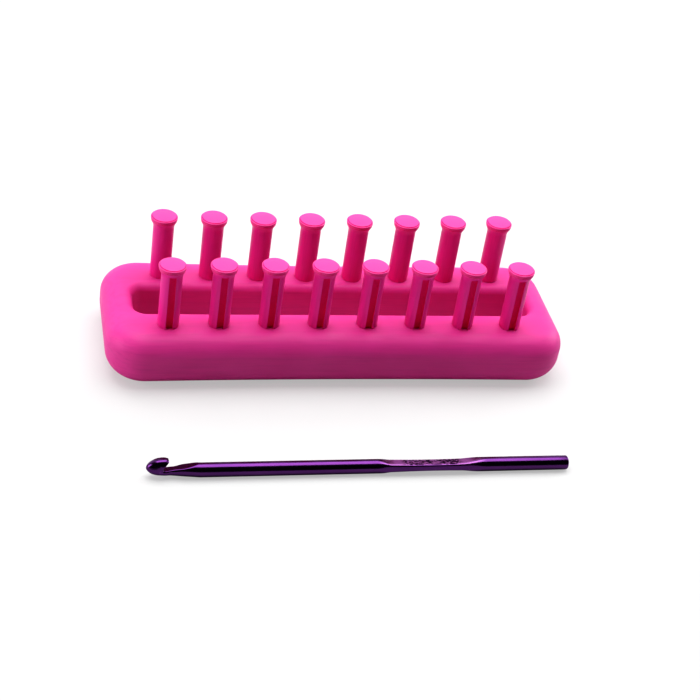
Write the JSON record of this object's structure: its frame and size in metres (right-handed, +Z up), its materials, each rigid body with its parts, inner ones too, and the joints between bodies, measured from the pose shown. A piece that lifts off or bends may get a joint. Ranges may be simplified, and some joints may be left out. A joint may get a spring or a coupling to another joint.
{
  "type": "rectangular knitting loom with crochet hook",
  "caption": "Moulded oblong peg loom with a long slot between two rows of grooved, flared pegs, and the crochet hook that lifts the yarn over them.",
  "frame": {"origin": "on the table under the middle of the whole set's box (loom and hook together)", "axes": "+X along the loom's long side and the hook, towards the hook's plain end; +Y from the hook to the loom; +Z up, along the pegs"},
  "size_m": [0.179, 0.1114, 0.0483],
  "materials": {
    "shell_plastic": "smooth satin moulded plastic, magenta pink",
    "base_plastic": "fine matt moulded plastic, magenta pink",
    "peg_plastic": "satin moulded plastic, magenta pink",
    "hook_metal": "polished, anodised deep purple"
  },
  "bodies": {
    "loom": {"frame_shell": "shell_plastic", "base_plate": "base_plastic", "peg_front_1": "peg_plastic", "peg_front_2": "peg_plastic", "peg_front_3": "peg_plastic", "peg_front_4": "peg_plastic", "peg_front_5": "peg_plastic", "peg_front_6": "peg_plastic", "peg_front_7": "peg_plastic", "peg_front_8": "peg_plastic", "peg_back_1": "peg_plastic", "peg_back_2": "peg_plastic", "peg_back_3": "peg_plastic", "peg_back_4": "peg_plastic", "peg_back_5": "peg_plastic", "peg_back_6": "peg_plastic", "peg_back_7": "peg_plastic", "peg_back_8": "peg_plastic"},
    "hook": {"crochet_hook": "hook_metal"}
  },
  "joints": [
    {"name": "hook_lift", "type": "slide", "parent": "loom", "child": "hook", "axis": [0, 0, 1], "range_m": [0, 0.12]}
  ]
}
